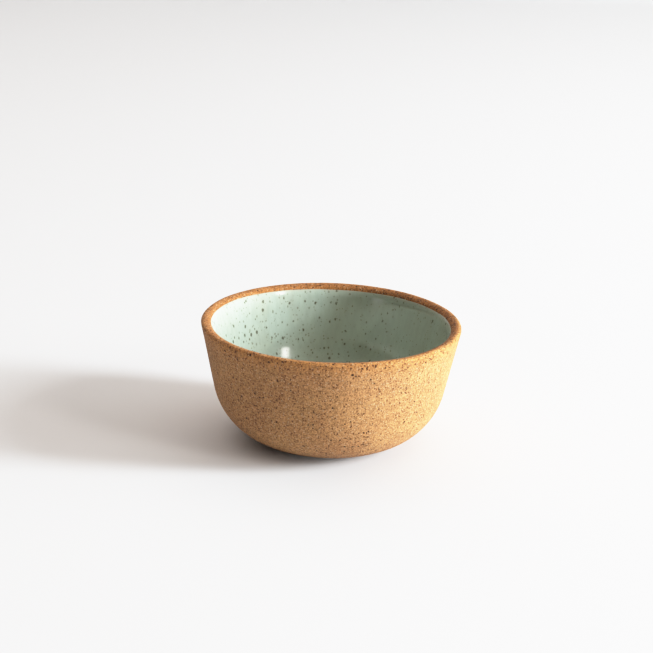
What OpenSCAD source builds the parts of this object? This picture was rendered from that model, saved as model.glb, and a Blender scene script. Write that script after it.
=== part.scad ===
// Small stoneware prep bowl: a turned clay body with a bare outside and lip, lined with glaze.
// The bowl stands on z = 0 and its axis is the Z axis. Sizes are millimetres, angles degrees.

/* [Bowl] */
// Greatest outside diameter, at the lip
rim_d = 108; // [96:1:124]
// Height from the foot to the crest of the lip
bowl_h = 51; // [44:0.5:60]
// Outside diameter of the flat foot
base_d = 41; // [34:0.5:50]
// Outside radius of the belly, between the foot and the wall
belly_r = 28.5; // [22:0.5:34]

/* [Clay] */
// Thickness of the wall, square to its face
wall_t = 4.4; // [3.6:0.1:6]
// Thickness of the floor
floor_t = 5; // [4:0.1:8]
// Inside radius of the belly, between the floor and the wall
hollow_r = 30.5; // [20:0.5:34]

/* [Lip] */
// Rounding of the lip's outer edge
lip_outer_r = 1.3; // [0.4:0.1:1.6]
// Rounding of the lip's inner edge, limited by the wall
lip_inner_r = 3.1; // [1.6:0.1:4]

/* [Foot] */
// Diameter of the shallow dish turned into the underside
dish_d = 30; // [20:0.5:32]
// Depth of that dish at the axis
dish_depth = 0.8; // [0.3:0.1:1.6]

/* [Glaze] */
// Width of bare clay between the lip's crest and the glaze, measured along the surface
bare_lip_w = 3.4; // [1.5:0.1:8]
// Thickness of the glaze on the wall
glaze_t = 0.5; // [0.3:0.05:1]
// Thickness of the glaze where it pools on the floor
glaze_pool_t = 0.8; // [0.3:0.05:1.5]
// Width over which the glaze rounds up from its edge to its full thickness
glaze_edge_w = 0.9; // [0.4:0.1:2]

/* [Hidden] */

// Facets of a full turn, and straight steps in each round stretch of an outline
turn_facets = 160;
belly_steps = 28;
lip_steps = 12;
edge_steps = 8;
dish_steps = 8;

// The outer wall is the line that touches both the belly's circle and the lip's outer rounding
belly_centre = [base_d / 2, belly_r];
outer_lip_centre = [rim_d / 2 - lip_outer_r, bowl_h - lip_outer_r];
centre_run = outer_lip_centre - belly_centre;
// Lean of the wall from the vertical, and its outward normal
flare = acos((belly_r - lip_outer_r) / norm(centre_run)) - atan2(centre_run.y, centre_run.x);
wall_normal = [cos(flare), -sin(flare)];
wall_offset = wall_normal * belly_centre + belly_r;
round_sweep = 90 - flare;

// Lip's two roundings share the wall: the inner one ends at the crest where the outer one does, or inside it
widest_lip_r = (wall_t - lip_outer_r * (1 + sin(flare))) / (1 - sin(flare));
lip_r = min(lip_inner_r, widest_lip_r);

// Lip's inner rounding, the inside of the wall and the inside of the belly touch in turn
inner_lip_centre = on_offset(wall_t - lip_r, bowl_h - lip_r);
hollow_centre = on_offset(wall_t + hollow_r, floor_t + hollow_r);

// Lengths along the inside, from the crest of the lip down to the axis
lip_len = lip_r * radians(round_sweep);
wall_len = norm(inner_lip_centre - lip_r * wall_normal - (hollow_centre + hollow_r * wall_normal));
belly_len = hollow_r * radians(round_sweep);
wall_start = lip_len;
belly_start = wall_start + wall_len;
floor_start = belly_start + belly_len;
axis_at = floor_start + hollow_centre.x;

// Stops along the inside: those on bare clay, those on the glaze's rounded edge, and those below it
edge_end = bare_lip_w + glaze_edge_w;
inside_stops = concat(
    [for (i = [0 : lip_steps]) lip_len * i / lip_steps],
    [for (i = [0 : belly_steps]) belly_start + belly_len * i / belly_steps],
    [axis_at]
);
bare_stops = [for (s = inside_stops) if (s < bare_lip_w) s];
edge_stops = [for (i = [0 : edge_steps]) bare_lip_w + glaze_edge_w * i / edge_steps];
lined_stops = concat(edge_stops, [for (s = inside_stops) if (s > edge_end) s]);

function radians(a) = a * PI / 180;

// Point at height z that lies the distance inset inside the outer wall's line
function on_offset(inset, z) = [(wall_offset - inset - wall_normal.y * z) / wall_normal.x, z];

function on_circle(centre, r, a) = centre + r * [cos(a), sin(a)];

function arc(centre, r, from, to, steps) =
    [for (i = [0 : steps]) on_circle(centre, r, from + (to - from) * i / steps)];

// Share from 0 to 1 that eases in and out
function eased(share) = let (u = min(1, max(0, share))) u * u * (3 - 2 * u);

// Angle of the surface's normal, facing the hollow, at the length s along the inside
function inside_angle(s) =
    s < wall_start ? 90 + round_sweep * s / lip_len
    : s < belly_start ? 180 - flare
    : s < floor_start ? 180 - flare - round_sweep * (s - belly_start) / belly_len
    : 90;

// Point of the clay at the length s along the inside
function inside_point(s) =
    s < wall_start ? on_circle(inner_lip_centre, lip_r, inside_angle(s))
    : s < belly_start ? on_circle(inner_lip_centre, lip_r, 180 - flare)
        - (s - wall_start) * [sin(flare), cos(flare)]
    : s < floor_start ? on_circle(hollow_centre, -hollow_r, inside_angle(s))
    : [axis_at - s, floor_t];

// Thickness of the glaze there: a round edge, an even coat on the wall, and a pool on the floor
function glaze_at(s) =
    let (edge_share = min(1, max(0, (s - bare_lip_w) / glaze_edge_w)))
    let (pool_share = eased((s - belly_start) / belly_len))
    sqrt(1 - pow(1 - edge_share, 2)) * (glaze_t + (glaze_pool_t - glaze_t) * pool_share);

function glaze_point(s) = on_circle(inside_point(s), glaze_at(s), inside_angle(s));

function reversed(list) = [for (i = [len(list) - 1 : -1 : 0]) list[i]];

// Shallow round dish in the underside, from the axis out to the standing ring
function dish_outline() =
    let (dish_r = (pow(dish_d / 2, 2) + pow(dish_depth, 2)) / (2 * dish_depth))
    let (dish_sweep = asin(dish_d / 2 / dish_r))
    arc([0, dish_depth - dish_r], dish_r, 90, 90 - dish_sweep, dish_steps);

module turned(outline) {
    rotate_extrude($fn = turn_facets) polygon(outline);
}

// Thrown and turned clay: foot, belly, wall and rounded lip, fired as one piece
module stoneware_body() {
    color("#c99a66")
        turned(concat(
            dish_outline(),
            arc(belly_centre, belly_r, -90, -flare, belly_steps),
            arc(outer_lip_centre, lip_outer_r, -flare, 90, lip_steps),
            [for (s = bare_stops) inside_point(s)],
            [for (s = lined_stops) inside_point(s)]
        ));
}

// Coat of glaze melted on to the inside of the clay, from below the lip down to the floor
module glaze_lining() {
    color("#b4cdbd")
        turned(concat(
            [for (s = lined_stops) glaze_point(s)],
            [for (s = reversed(lined_stops)) if (s > bare_lip_w) inside_point(s)]
        ));
}

stoneware_body();
glaze_lining();
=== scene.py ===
"""Small stoneware prep bowl: bare speckled clay outside and on the lip, pale green glaze inside."""
import math

import bmesh
import bpy
from mathutils import Matrix, Quaternion, Vector, noise


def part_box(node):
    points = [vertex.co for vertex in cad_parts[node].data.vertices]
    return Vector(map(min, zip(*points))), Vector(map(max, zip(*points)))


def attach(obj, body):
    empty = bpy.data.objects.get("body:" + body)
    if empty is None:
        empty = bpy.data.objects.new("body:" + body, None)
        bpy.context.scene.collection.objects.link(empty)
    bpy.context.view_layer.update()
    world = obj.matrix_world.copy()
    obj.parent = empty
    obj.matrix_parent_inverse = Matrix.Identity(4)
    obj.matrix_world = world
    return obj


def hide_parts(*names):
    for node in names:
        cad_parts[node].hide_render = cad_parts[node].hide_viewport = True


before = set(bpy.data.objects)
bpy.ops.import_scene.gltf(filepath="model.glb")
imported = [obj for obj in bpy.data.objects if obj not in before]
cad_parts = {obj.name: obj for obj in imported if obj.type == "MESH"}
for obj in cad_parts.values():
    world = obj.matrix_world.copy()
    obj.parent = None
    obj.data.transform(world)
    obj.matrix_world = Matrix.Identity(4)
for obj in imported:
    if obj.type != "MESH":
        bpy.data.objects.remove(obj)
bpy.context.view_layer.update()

MM = 0.001
quarter = math.pi / 2

# Sizes of the bowl, in metres: its reach comes from the frame, and the rest repeats the solids
_, clay_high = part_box("stoneware_body")
rim_r = clay_high.x
bowl_h = clay_high.z
base_r = 20.5 * MM
belly_r = 28.5 * MM
wall_t = 4.4 * MM
floor_t = 5 * MM
hollow_r = 30.5 * MM
lip_outer_r = 1.3 * MM
lip_inner_r = 3.1 * MM
dish_r = 15 * MM
dish_depth = 0.8 * MM
bare_lip_w = 3.4 * MM
glaze_t = 0.5 * MM
glaze_pool_t = 0.8 * MM

# Vertices that lie closer together than this are merged
merge_gap = 0.001 * MM

# The outer wall touches the belly's circle and the lip's outer rounding. Points are (radius, height)
belly_centre = Vector((base_r, belly_r))
outer_lip_centre = Vector((rim_r - lip_outer_r, bowl_h - lip_outer_r))
centre_run = outer_lip_centre - belly_centre
flare = math.acos((belly_r - lip_outer_r) / centre_run.length) - math.atan2(centre_run.y, centre_run.x)
wall_normal = Vector((math.cos(flare), -math.sin(flare)))
wall_offset = wall_normal.dot(belly_centre) + belly_r
round_sweep = quarter - flare


def inside_wall(inset, height):
    """Point at that height which lies inset inside the outer wall's line."""
    return Vector(((wall_offset - inset - wall_normal.y * height) / wall_normal.x, height))


# The inside follows the wall: the lip's inner rounding, then the wall, then the hollow's circle
inner_lip_centre = inside_wall(wall_t - lip_inner_r, bowl_h - lip_inner_r)
hollow_centre = inside_wall(wall_t + hollow_r, floor_t + hollow_r)
hollow_top = hollow_centre + hollow_r * wall_normal
lip_end = inner_lip_centre - lip_inner_r * wall_normal
lip_len = lip_inner_r * round_sweep


def inside_point(length):
    """Point on the clay's inside at a length down from the lip's crest, on the rounding or the wall."""
    if length < lip_len:
        angle = length / lip_inner_r
        return inner_lip_centre + lip_inner_r * Vector((-math.sin(angle), math.cos(angle)))
    return lip_end - (length - lip_len) * Vector((math.sin(flare), math.cos(flare)))


# The lip was waxed by hand, so the glaze's edge is a little off centre, a little oval and unsteady.
# The coat thins out towards that edge
edge_off_centre = 0.25 * MM
edge_oval = 0.3 * MM
edge_unsteady = 0.15 * MM
off_centre_way = math.radians(45)
oval_way = math.radians(85)
thin_edge_w = 3.2 * MM
glaze_edge = inside_point(bare_lip_w)
highest_edge = inside_point(bare_lip_w - edge_off_centre - edge_oval - edge_unsteady)


def line_to(bm, tip, x, z, steps):
    """Draws a straight run of an outline on from the vertex tip, and returns its last vertex."""
    step = (Vector((x, 0, z)) - tip.co) / steps
    for _ in range(steps):
        tip = bmesh.ops.extrude_vert_indiv(bm, verts=[tip])["verts"][0]
        bmesh.ops.translate(bm, verts=[tip], vec=step)
    return tip


def round_to(bm, tip, centre, angle, steps):
    """Draws a round run of an outline on about a centre, and returns its last vertex."""
    drawn = bmesh.ops.spin(
        bm, geom=[tip], cent=(centre.x, 0, centre.y), axis=(0, 1, 0), angle=angle, steps=steps
    )
    return next(part for part in drawn["geom_last"] if isinstance(part, bmesh.types.BMVert))


def turn(bm, wedges, steps):
    """Turns the outline about the bowl's axis: one wedge of the circle first, then copies of it."""
    wedge = 2 * math.pi / wedges
    centred = {"cent": (0, 0, 0), "axis": (0, 0, 1)}
    bmesh.ops.spin(bm, geom=bm.verts[:] + bm.edges[:], angle=wedge, steps=steps, **centred)
    whole = bm.verts[:] + bm.edges[:] + bm.faces[:]
    copies = wedges - 1
    bmesh.ops.spin(bm, geom=whole, angle=wedge * copies, steps=copies, use_duplicate=True, **centred)
    bmesh.ops.remove_doubles(bm, verts=bm.verts[:], dist=merge_gap)
    bmesh.ops.recalc_face_normals(bm, faces=bm.faces[:])
    bm.verts.index_update()
    bm.normal_update()


def mesh_object(bm, name, material):
    """Makes a smooth object of a mesh."""
    mesh = bpy.data.meshes.new(name)
    bm.to_mesh(mesh)
    bm.free()
    mesh.shade_smooth()
    mesh.materials.append(material)
    made = bpy.data.objects.new(name, mesh)
    bpy.context.scene.collection.objects.link(made)
    return made


def eased(low, high, value):
    """Rises smoothly from 0 at low to 1 at high."""
    share = min(1, max(0, (value - low) / (high - low)))
    return share * share * (3 - 2 * share)


def linear(code):
    """Colour of an sRGB hex code as linear red, green, blue and alpha."""
    shares = [int(code[start:start + 2], 16) / 255 for start in (1, 3, 5)]
    return [s / 12.92 if s <= 0.04045 else ((s + 0.055) / 1.055) ** 2.4 for s in shares] + [1]


def add(tree, kind, inputs=(), **settings):
    """Adds a node with its settings. Each input, by name or in order, is a value, a socket or a node."""
    made = tree.nodes.new("ShaderNode" + kind)
    for name, value in settings.items():
        setattr(made, name, value)
    for name, value in inputs.items() if isinstance(inputs, dict) else enumerate(inputs):
        if isinstance(value, bpy.types.Node):
            value = next(socket for socket in value.outputs if socket.enabled)
        if isinstance(value, bpy.types.NodeSocket):
            tree.links.new(value, made.inputs[name])
        else:
            made.inputs[name].default_value = value
    return made


# Places of the sockets on a Mix node that mixes colours
SHARE, FIRST, SECOND = 0, 6, 7

# Setting of a Map Range node that eases in and out
smooth = {"interpolation_type": "SMOOTHSTEP"}

# Most values of a noise texture lie between these two
noise_low, noise_high = 0.3, 0.7


def new_material(name):
    """Starts a material, and returns it with its node tree and its shader."""
    material = bpy.data.materials.new(name)
    material.use_nodes = True
    tree = material.node_tree
    return material, tree, tree.nodes["Principled BSDF"]


def speck_depth(tree, place, spacing, largest, rarity, crowding, drawn_out=1.0):
    """Distance, in metres, of a point inside the edge of the speck that its cell holds.

    Spacing and the largest radius are in metres. The higher the rarity, the more of the specks are
    small. Crowding multiplies the radius, and drawn_out is a speck's height over its width.
    """
    cells = add(tree, "TexVoronoi", {"Vector": place, "Scale": 1 / spacing})
    lot = add(tree, "SeparateColor", (cells.outputs["Color"],))
    rank = add(tree, "Math", (lot, rarity), operation="POWER")
    radius = add(tree, "Math", (rank, largest), operation="MULTIPLY")
    crowded = add(tree, "Math", (radius, crowding), operation="MULTIPLY")
    offset = add(tree, "VectorMath", (place, cells.outputs["Position"]), operation="SUBTRACT")
    flattened = add(tree, "VectorMath", (offset, (1, 1, 1 / drawn_out)), operation="MULTIPLY")
    away = add(tree, "VectorMath", (flattened,), operation="LENGTH")
    return add(tree, "Math", (crowded, away), operation="SUBTRACT")


def raw_stoneware():
    """Speckled buff stoneware, thrown, sponged and left bare: dry, sandy, toasted on the lip."""
    material, tree, shader = new_material("raw_speckled_stoneware")
    place = add(tree, "TexCoord").outputs["Object"]
    height = add(tree, "SeparateXYZ", (place,)).outputs["Z"]
    across = add(tree, "VectorMath", (place, (1, 1, 0)), operation="MULTIPLY")
    radius = add(tree, "VectorMath", (across,), operation="LENGTH")

    # Grains and specks have ragged edges: the place that they read is shaken by a fine noise
    shake_span, shake_reach = 0.7 * MM, 0.3 * MM
    shake = add(tree, "TexNoise", {"Vector": place, "Scale": 1 / shake_span, "Detail": 1})
    shaken = (shake.outputs["Color"], (shake_reach,) * 3, place)
    ragged = add(tree, "VectorMath", shaken, operation="MULTIPLY_ADD").outputs[0]

    # Cloudy patches of a paler and a warmer buff
    cloud_span = 12 * MM
    clouds = add(tree, "TexNoise", {"Vector": place, "Scale": 1 / cloud_span, "Detail": 3})
    patches = add(tree, "MapRange", (clouds, noise_low, noise_high, 0, 1), **smooth)
    buffs = {SHARE: patches, FIRST: linear("#A5794D"), SECOND: linear("#9E7148")}
    buff = add(tree, "Mix", buffs, data_type="RGBA")

    # The flame toasts the inner slope of the lip, and tints the wall just below the lip. The slope is
    # told from the wall by how far it lies inside the outer wall's line
    flame_span, flame_reach = 5 * MM, 1.6 * MM
    slope_start, slope_full = 1.2 * MM, 2.8 * MM
    toast_end, toast_full = bowl_h - 6 * MM, bowl_h - 4 * MM
    tint_end, tint_most = bowl_h - 8 * MM, 0.5
    flash = add(tree, "TexNoise", {"Vector": place, "Scale": 1 / flame_span, "Detail": 2})
    wander = add(tree, "Math", (flash, flame_reach, -flame_reach / 2), operation="MULTIPLY_ADD")
    wall_line = add(tree, "Math", (height, -wall_normal.y, wall_offset), operation="MULTIPLY_ADD")
    inset = add(tree, "Math", (radius, -wall_normal.x, wall_line), operation="MULTIPLY_ADD")
    wandered = add(tree, "Math", (inset, wander), operation="ADD")
    slope = add(tree, "MapRange", (wandered, slope_start, slope_full, 0, 1), **smooth)
    upper = add(tree, "MapRange", (height, toast_end, toast_full, 0, 1), **smooth)
    toasted = add(tree, "Math", (slope, upper), operation="MULTIPLY")
    raised = add(tree, "Math", (height, wander), operation="ADD")
    below = add(tree, "MapRange", (raised, tint_end, bowl_h, 0, tint_most), **smooth)
    tints = {SHARE: below, FIRST: buff, SECOND: linear("#A86E36")}
    tinted = add(tree, "Mix", tints, data_type="RGBA")
    flames = {SHARE: toasted, FIRST: tinted, SECOND: linear("#925F34")}
    flashed = add(tree, "Mix", flames, data_type="RGBA")

    # Painted shade: the low curve of the belly is darkened towards the floor, where contact shade falls,
    # round the foot but not under it
    low_full, low_end, low_most = 3 * MM, 8 * MM, 0.4
    low_curve_w = 9 * MM
    low = add(tree, "MapRange", (raised, low_full, low_end, low_most, 0), **smooth)
    round_foot = add(tree, "MapRange", (radius, base_r, base_r + low_curve_w, 0, 1), **smooth)
    painted_foot_shade = add(tree, "Math", (low, round_foot), operation="MULTIPLY")
    foot_shade_mix = {SHARE: painted_foot_shade, FIRST: flashed, SECOND: linear("#6B4527")}
    foot_shaded = add(tree, "Mix", foot_shade_mix, data_type="RGBA")

    # Use has rubbed the standing ring paler
    rub_full, rub_end, rub_most = 0.05 * MM, 0.3 * MM, 0.5
    rubbed = add(tree, "MapRange", (height, rub_full, rub_end, rub_most, 0), **smooth)
    rubs = {SHARE: rubbed, FIRST: foot_shaded, SECOND: linear("#C09A70")}
    worn = add(tree, "Mix", rubs, data_type="RGBA")

    # Sand in the clay: grains of half a millimetre, each of its own tone
    grain_span = 0.5 * MM
    darkest_grain, brightest_grain = 0.56, 1.4
    sand = add(tree, "TexVoronoi", {"Vector": ragged, "Scale": 1 / grain_span})
    lot = add(tree, "SeparateColor", (sand.outputs["Color"],)).outputs["Green"]
    tone = add(tree, "MapRange", (lot, 0, 1, darkest_grain, brightest_grain))
    tones = {SHARE: 1, FIRST: worn, SECOND: tone}
    sandy = add(tree, "Mix", tones, data_type="RGBA", blend_type="MULTIPLY")

    # Pale grains, many small brown specks and fewer large dark ones of iron, crowded at the lip
    crowd_span = 18 * MM
    least_crowd, most_crowd = 0.88, 1.12
    lip_crowd_end, lip_crowd_full, lip_crowd_most = bowl_h - 7 * MM, bowl_h - 2 * MM, 1.22
    crowd_noise = add(tree, "TexNoise", {"Vector": place, "Scale": 1 / crowd_span, "Detail": 1})
    crowd_range = (crowd_noise, noise_low, noise_high, least_crowd, most_crowd)
    patchy = add(tree, "MapRange", crowd_range, **smooth)
    lip_range = (height, lip_crowd_end, lip_crowd_full, 1, lip_crowd_most)
    lip_crowd = add(tree, "MapRange", lip_range, **smooth)
    crowding = add(tree, "Math", (patchy, lip_crowd), operation="MULTIPLY")
    pale = speck_depth(tree, ragged, spacing=0.9 * MM, largest=0.34 * MM, rarity=0.8, crowding=1.0)
    small = speck_depth(tree, ragged, spacing=1.05 * MM, largest=0.42 * MM, rarity=1.1, crowding=crowding)
    large = speck_depth(tree, ragged, spacing=1.8 * MM, largest=0.48 * MM, rarity=1.3, crowding=crowding)

    # Each fades in from a halo round its edge to its full tone at a depth inside the edge
    halo = 0.08 * MM
    pale_full, pale_most = 0.1 * MM, 0.5
    small_full, large_full = 0.12 * MM, 0.14 * MM
    pale_grains = add(tree, "MapRange", (pale, -halo, pale_full, 0, pale_most), **smooth)
    small_specks = add(tree, "MapRange", (small, -halo, small_full, 0, 1), **smooth)
    large_specks = add(tree, "MapRange", (large, -halo, large_full, 0, 1), **smooth)
    pales = {SHARE: pale_grains, FIRST: sandy, SECOND: linear("#C5A884")}
    salted = add(tree, "Mix", pales, data_type="RGBA")
    browns = {SHARE: small_specks, FIRST: salted, SECOND: linear("#5D3922")}
    browned = add(tree, "Mix", browns, data_type="RGBA")
    darks = {SHARE: large_specks, FIRST: browned, SECOND: linear("#362215")}
    speckled = add(tree, "Mix", darks, data_type="RGBA")
    tree.links.new(speckled.outputs["Result"], shader.inputs["Base Color"])

    # A dry, sandy face: grains stand up, and specks are burnt out into small pits
    tooth_span, tooth_depth, pit_share = 0.6 * MM, 0.16 * MM, 0.5
    tooth = add(tree, "TexNoise", {"Vector": place, "Scale": 1 / tooth_span, "Detail": 3})
    pitted = add(tree, "Math", (large_specks, -pit_share, tooth), operation="MULTIPLY_ADD")
    bump = add(tree, "Bump", {"Height": pitted, "Distance": tooth_depth, "Strength": 0.7})
    tree.links.new(bump.outputs["Normal"], shader.inputs["Normal"])
    shader.inputs["Roughness"].default_value = 0.85
    shader.inputs["IOR"].default_value = 1.45
    return material


def celadon_glaze():
    """Glossy celadon glaze: pale sea green, with iron specks that bleed through from the clay."""
    material, tree, shader = new_material("glossy_celadon_glaze")
    place = add(tree, "TexCoord").outputs["Object"]

    # The glaze ran down as it melted, so its slow drift of tone and its fine streaks are drawn out in
    # height, the drift to twice its width and the streaks to five times theirs
    drift_span, drift_run = 11 * MM, 2
    streak_span, streak_run = 1.5 * MM, 5
    streak_low, streak_high = 0.2, 0.8
    darkest_streak, brightest_streak = 0.92, 1.07
    run = add(tree, "Mapping", {"Vector": place, "Scale": (1, 1, 1 / drift_run)})
    drift = add(tree, "TexNoise", {"Vector": run, "Scale": 1 / drift_span, "Detail": 3})
    drifted = add(tree, "MapRange", (drift, noise_low, noise_high, 0, 1), **smooth)
    greens = {SHARE: drifted, FIRST: linear("#A0AB9C"), SECOND: linear("#9CA493")}
    green = add(tree, "Mix", greens, data_type="RGBA")
    thin_run = add(tree, "Mapping", {"Vector": place, "Scale": (1, 1, 1 / streak_run)})
    streaks = add(tree, "TexNoise", {"Vector": thin_run, "Scale": 1 / streak_span, "Detail": 2})
    streak_range = (streaks, streak_low, streak_high, darkest_streak, brightest_streak)
    streak_tone = add(tree, "MapRange", streak_range)
    tones = {SHARE: 1, FIRST: green, SECOND: streak_tone}
    streaked = add(tree, "Mix", tones, data_type="RGBA", blend_type="MULTIPLY")

    # It is thin at its edge, where the cream of the clay shows through
    edge_span, edge_shake = 2 * MM, 0.5
    thin_full, thin_end, thin_most = 0.25, 0.6, 0.4
    thick = add(tree, "Attribute", attribute_name="thickness_share").outputs["Fac"]
    edge_noise = add(tree, "TexNoise", {"Vector": place, "Scale": 1 / edge_span, "Detail": 2})
    unsteady = add(tree, "Math", (edge_noise, edge_shake, thick), operation="MULTIPLY_ADD")
    thin = add(tree, "MapRange", (unsteady, thin_full, thin_end, thin_most, 0), **smooth)
    creams = {SHARE: thin, FIRST: streaked, SECOND: linear("#ADA38D")}
    edged = add(tree, "Mix", creams, data_type="RGBA")

    # Iron specks of the clay below, ragged and drawn out in height. Fewer of them are put on the +X side,
    # whose inside wall lies in shade: a painted effect of that shade, which hides specks
    lit_side_crowd, shaded_side_crowd = 1.15, 0.85
    wobble_span, wobble_reach = 0.6 * MM, 0.6 * MM
    side = add(tree, "SeparateXYZ", (place,)).outputs["X"]
    crowding = add(tree, "MapRange", (side, -hollow_top.x, hollow_top.x, lit_side_crowd, shaded_side_crowd))
    wobble = add(tree, "TexNoise", {"Vector": place, "Scale": 1 / wobble_span, "Detail": 1})
    wobbled = (wobble.outputs["Color"], (wobble_reach,) * 3, place)
    ragged = add(tree, "VectorMath", wobbled, operation="MULTIPLY_ADD").outputs[0]
    large = speck_depth(
        tree, ragged, spacing=2.3 * MM, largest=0.55 * MM, rarity=1.5, crowding=crowding, drawn_out=1.4
    )
    small = speck_depth(
        tree, ragged, spacing=1.35 * MM, largest=0.4 * MM, rarity=1.6, crowding=crowding, drawn_out=1.2
    )

    # A large speck has an olive bleed round a dark heart, and a small one is faint. Each fades in from a
    # halo round its edge to its full tone at a depth inside the edge
    bleed_halo, bleed_full, bleed_most = 0.35 * MM, 0.1 * MM, 0.35
    faint_halo, faint_full, faint_most = 0.1 * MM, 0.12 * MM, 0.6
    heart_halo, heart_full, heart_most = 0.05 * MM, 0.12 * MM, 0.7
    bleed = add(tree, "MapRange", (large, -bleed_halo, bleed_full, 0, bleed_most), **smooth)
    faint = add(tree, "MapRange", (small, -faint_halo, faint_full, 0, faint_most), **smooth)
    heart = add(tree, "MapRange", (large, -heart_halo, heart_full, 0, heart_most), **smooth)
    bleeds = {SHARE: bleed, FIRST: edged, SECOND: linear("#767456")}
    bled = add(tree, "Mix", bleeds, data_type="RGBA")
    faints = {SHARE: faint, FIRST: bled, SECOND: linear("#645A42")}
    flecked = add(tree, "Mix", faints, data_type="RGBA")
    hearts = {SHARE: heart, FIRST: flecked, SECOND: linear("#372818")}
    speckled = add(tree, "Mix", hearts, data_type="RGBA")
    tree.links.new(speckled.outputs["Result"], shader.inputs["Base Color"])

    # It melted smooth, and lies in slow waves that soften the shape of a reflection
    wave_span, wave_depth = 5 * MM, 0.12 * MM
    waves = add(tree, "TexNoise", {"Vector": place, "Scale": 1 / wave_span, "Detail": 1})
    bump = add(tree, "Bump", {"Height": waves, "Distance": wave_depth, "Strength": 0.15})
    tree.links.new(bump.outputs["Normal"], shader.inputs["Normal"])
    shader.inputs["Roughness"].default_value = 0.15
    shader.inputs["IOR"].default_value = 1.52
    return material


def clay_relief(point):
    """Depth, in metres, that the hand-made face of the clay lies below its true form at a point."""
    wave_depth, wave_span = 0.14 * MM, 15 * MM
    tooth_depth, tooth_span = 0.05 * MM, 1.5 * MM
    pit_depth, pit_spacing, pit_r = 0.16 * MM, 5.5 * MM, 0.8 * MM
    waves = 0.5 + 0.5 * noise.noise(point / wave_span)
    tooth = 0.5 + 0.5 * noise.noise(point / tooth_span)
    nearest = noise.voronoi(point / pit_spacing)[0][0] * pit_spacing
    pit = 1 - eased(0, pit_r, nearest)
    return waves * wave_depth + tooth * tooth_depth + pit * pit_depth


def turning_marks(point):
    """Depth, in metres, of the spiral that the turning tool left in the dish under the foot."""
    groove_depth, groove_pitch = 0.16 * MM, 2.5 * MM
    turned_by = math.atan2(point.y, point.x)
    wave = 0.5 - 0.5 * math.cos(2 * math.pi * point.xy.length / groove_pitch + turned_by)
    return groove_depth * wave * eased(0, groove_pitch, point.xy.length)


def clay_body(material):
    """Foot, belly, wall and lip in one turned piece, with the waves, tooth and pits of thrown clay."""
    bm = bmesh.new()
    dish_curve_r = (dish_r ** 2 + dish_depth ** 2) / (2 * dish_depth)
    dish_centre = Vector((0, dish_depth - dish_curve_r))
    wall_top = outer_lip_centre + lip_outer_r * wall_normal
    tip = bm.verts.new((0, 0, dish_depth))
    tip = round_to(bm, tip, dish_centre, math.asin(dish_r / dish_curve_r), steps=28)
    tip = line_to(bm, tip, base_r, 0, steps=8)
    tip = round_to(bm, tip, belly_centre, -round_sweep, steps=64)
    tip = line_to(bm, tip, wall_top.x, wall_top.y, steps=40)
    tip = round_to(bm, tip, outer_lip_centre, -(quarter + flare), steps=8)
    tip = line_to(bm, tip, inner_lip_centre.x, bowl_h, steps=1)
    tip = round_to(bm, tip, inner_lip_centre, -round_sweep, steps=12)
    tip = line_to(bm, tip, hollow_top.x, hollow_top.y, steps=1)
    tip = round_to(bm, tip, hollow_centre, round_sweep, steps=10)
    line_to(bm, tip, 0, floor_t, steps=1)
    turn(bm, wedges=12, steps=45)

    # The standing ring is flat and the clay under the glaze is plain. The relief fades out towards both
    ring_fade = 0.5 * MM
    glaze_fade = 0.8 * MM
    inward_tilt = 0.1
    downward_tilt = -0.9
    for vert, normal in [(vert, vert.normal.copy()) for vert in bm.verts]:
        depth = clay_relief(vert.co)
        if normal.z < downward_tilt and vert.co.xy.length < dish_r:
            depth += turning_marks(vert.co)
        depth *= eased(0, ring_fade, vert.co.z)
        if normal.z > inward_tilt:
            depth *= eased(highest_edge.y, highest_edge.y + glaze_fade, vert.co.z)
        vert.co -= normal * depth
    piece = mesh_object(bm, "clay_body", material)
    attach(piece, "root")
    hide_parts("stoneware_body")


def line_down(vert):
    """Angle of a vertex round the axis, rounded so that those on one line down the coat share it."""
    digits = 3
    return round(math.atan2(vert.co.y, vert.co.x), digits)


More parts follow.
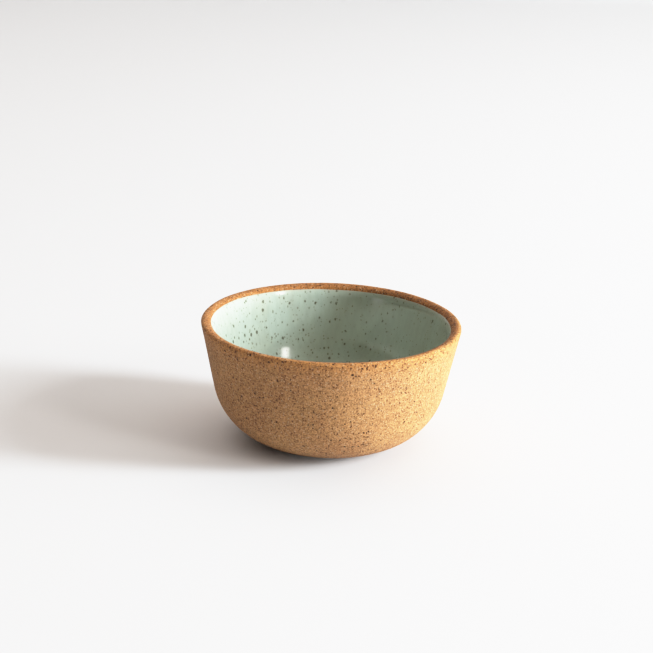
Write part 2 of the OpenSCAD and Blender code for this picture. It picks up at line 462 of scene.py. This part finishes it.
def glaze_coat(material):
    """Coat of glaze on the inside, with a thin, unsteady edge below the lip and a pool on the floor."""
    bm = bmesh.new()
    tip = bm.verts.new((glaze_edge.x, 0, glaze_edge.y))
    tip = round_to(bm, tip, inner_lip_centre, bare_lip_w / lip_inner_r - round_sweep, steps=8)
    tip = line_to(bm, tip, hollow_top.x, hollow_top.y, steps=30)
    tip = round_to(bm, tip, hollow_centre, round_sweep, steps=44)
    line_to(bm, tip, 0, floor_t, steps=12)
    turn(bm, wedges=12, steps=30)
    if sum(face.normal.z for face in bm.faces) < 0:
        bmesh.ops.reverse_faces(bm, faces=bm.faces[:])
        bm.normal_update()

    # The edge moves up and down along the clay, and settles into the even coat a few millimetres below
    unsteady_span, settled = 9 * MM, 4 * MM
    for vert in bm.verts:
        if vert.co.z < glaze_edge.y - settled:
            continue
        radius = vert.co.xy.length
        around = math.atan2(vert.co.y, vert.co.x)
        if vert.co.z > lip_end.y:
            length = lip_inner_r * math.acos((vert.co.z - inner_lip_centre.y) / lip_inner_r)
        else:
            length = lip_len + (lip_end.y - vert.co.z) / math.cos(flare)
        shift = edge_off_centre * math.cos(around - off_centre_way)
        shift += edge_oval * math.cos(2 * (around - oval_way))
        shift += edge_unsteady * noise.noise(Vector((vert.co.x, vert.co.y, 0)) / unsteady_span)
        moved = inside_point(length + shift * eased(glaze_edge.y - settled, glaze_edge.y, vert.co.z))
        vert.co.xy *= moved.x / radius
        vert.co.z = moved.y
    bm.normal_update()

    # The sheet lies on the clay. A copy stays there as its back, and the face is lifted by the thickness
    thickness_share = bm.verts.layers.float.new("thickness_share")
    face_verts = bm.verts[:]
    normals = [vert.normal.copy() for vert in face_verts]
    copied = bmesh.ops.duplicate(bm, geom=bm.verts[:] + bm.edges[:] + bm.faces[:])
    back = [part for part in copied["geom"] if isinstance(part, bmesh.types.BMFace)]
    bmesh.ops.reverse_faces(bm, faces=back)
    edge_heights = {line_down(vert): vert.co.z for vert in face_verts if vert.is_boundary}
    for vert, normal in zip(face_verts, normals):
        edge_z = edge_heights.get(line_down(vert), glaze_edge.y)
        edge_share = min(1, max(0, (edge_z - vert.co.z) / thin_edge_w))
        pool_share = eased(hollow_top.y, floor_t, vert.co.z)
        depth = glaze_t + (glaze_pool_t - glaze_t) * pool_share
        vert[thickness_share] = edge_share
        vert.co += normal * depth * math.sin(quarter * edge_share)
    bmesh.ops.remove_doubles(bm, verts=bm.verts[:], dist=merge_gap)
    piece = mesh_object(bm, "glaze_coat", material)
    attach(piece, "root")
    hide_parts("glaze_lining")


def paper_sweep():
    """Plain pale grey floor that curves up into a backdrop behind the bowl. Its sizes are in metres."""
    width = 5
    floor_start = -4
    bend_start = 1.6
    bend_r = 0.5
    backdrop_h = 0.9
    material, _, shader = new_material("matte_pale_grey_paper")
    shader.inputs["Base Color"].default_value = linear("#DCDCDC")
    shader.inputs["Roughness"].default_value = 0.9
    bm = bmesh.new()
    tip = bm.verts.new((floor_start, 0, 0))
    tip = line_to(bm, tip, bend_start, 0, steps=1)
    tip = round_to(bm, tip, Vector((bend_start, bend_r)), -quarter, steps=24)
    line_to(bm, tip, bend_start + bend_r, backdrop_h, steps=1)
    wide = bmesh.ops.extrude_edge_only(bm, edges=bm.edges[:])
    moved = [part for part in wide["geom"] if isinstance(part, bmesh.types.BMVert)]
    bmesh.ops.translate(bm, verts=moved, vec=(0, width, 0))
    bmesh.ops.translate(bm, verts=bm.verts[:], vec=(0, -width / 2, 0))
    bmesh.ops.rotate(bm, verts=bm.verts[:], cent=(0, 0, 0), matrix=Matrix.Rotation(quarter, 3, "Z"))
    bmesh.ops.recalc_face_normals(bm, faces=bm.faces[:])
    mesh_object(bm, "paper_sweep", material)


def area_light(name, azimuth, elevation, size, watts, colour, shape="RECTANGLE", roll=0, glints=True):
    """Panel of light, as far off as a window, that faces the bowl from a direction given in degrees.

    Its size is its width and height in metres. One without glints doesn't show in reflections.
    """
    distance = 2.2
    light = bpy.data.lights.new(name, "AREA")
    light.shape = shape
    light.size, light.size_y = size
    light.energy = watts
    light.color = linear(colour)[:3]
    lamp = bpy.data.objects.new(name, light)
    across, up = math.radians(azimuth), math.radians(elevation)
    way = Vector((math.cos(up) * math.cos(across), math.cos(up) * math.sin(across), math.sin(up)))
    lamp.location = way * distance
    facing = way.to_track_quat("Z", "Y") @ Quaternion((0, 0, 1), math.radians(roll))
    lamp.rotation_euler = facing.to_euler()
    lamp.visible_glossy = glints
    bpy.context.scene.collection.objects.link(lamp)


def studio_light():
    """Windows on the right, one of which glints, a card on the left, and a warm fill from above."""
    area_light("key_window", -6.5, 26, (0.36, 0.62), 51.5, "#EFF8FF", glints=False)
    area_light("sill_window", -7, 16, (0.4, 0.4), 53.5, "#ECF6FF", glints=False)
    area_light("low_window", -1, 5.5, (2.6, 0.42), 130, "#F8FDFF", shape="ELLIPSE", glints=False)
    area_light("strip_window", -33, 29.5, (0.3, 0.62), 12, "#FFFAF5", roll=-20)
    area_light("left_card", 222, 10, (0.45, 0.8), 1.6, "#FFFFFF")

    # The room is brightest high up behind the bowl, and fades to dark in front and below
    brightest_way = (0, 0.45, 0.89)
    narrowness = 2
    room_strength = 1.68
    world = bpy.data.worlds.new("pale_room")
    world.use_nodes = True
    tree = world.node_tree
    way = add(tree, "TexCoord").outputs["Generated"]
    toward = add(tree, "VectorMath", (way, brightest_way), operation="DOT_PRODUCT")
    lobe = add(tree, "Math", (toward, 0), operation="MAXIMUM")
    glow = add(tree, "Math", (lobe, narrowness), operation="POWER")
    strength = add(tree, "Math", (glow, room_strength), operation="MULTIPLY")
    background = tree.nodes["Background"]
    background.inputs["Color"].default_value = linear("#FFF4EC")
    tree.links.new(strength.outputs[0], background.inputs["Strength"])
    bpy.context.scene.world = world


def photo_tone():
    """Tone of the photograph: straight in the shadows, with a shoulder so that whites don't clip."""
    brightest = 4.0
    shoulder = 5
    view = bpy.context.scene.view_settings
    view.view_transform = "Standard"
    view.use_curve_mapping = True
    curves = view.curve_mapping
    curves.white_level = (brightest, brightest, brightest)

    # The combined curve acts on all three colours. Its points stand closest where the shoulder bends
    combined = 3
    places = (0.05, 0.1, 0.15, 0.2, 0.225, 0.25, 0.275, 0.3, 0.35, 0.4, 0.5, 0.7)
    points = curves.curves[combined].points
    for share in places:
        value = share * brightest
        points.new(share, value / (1 + value ** shoulder) ** (1 / shoulder))
    curves.update()


def photo_camera():
    """Camera of the photograph, as the bowl's outline in it gives it."""
    picture_px = 653
    focal_px = 1542
    sensor_mm = 36
    bowl_middle_px = Vector((329.4, 377.4))
    distance = 648 * MM
    elevation = math.radians(20.46)
    roll = math.radians(2.04)
    lens = bpy.data.cameras.new("photo_camera")
    lens.sensor_width = sensor_mm
    lens.lens = focal_px / picture_px * sensor_mm
    lens.clip_start = 10 * MM
    camera = bpy.data.objects.new("photo_camera", lens)
    middle = Vector((0, 0, bowl_h / 2))
    back = Vector((0, -math.cos(elevation), math.sin(elevation)))
    off_centre = (bowl_middle_px - Vector((picture_px, picture_px)) / 2) / focal_px
    aim = Vector((0, 0, -1)).rotation_difference(Vector((off_centre.x, -off_centre.y, -1)))
    level = (-back).to_track_quat("-Z", "Y")
    camera.rotation_euler = (level @ Quaternion((0, 0, 1), roll) @ aim.inverted()).to_euler()
    camera.location = middle + back * distance
    bpy.context.scene.collection.objects.link(camera)
    bpy.context.scene.camera = camera


photo_camera()
studio_light()
paper_sweep()
clay_body(raw_stoneware())
glaze_coat(celadon_glaze())
photo_tone()
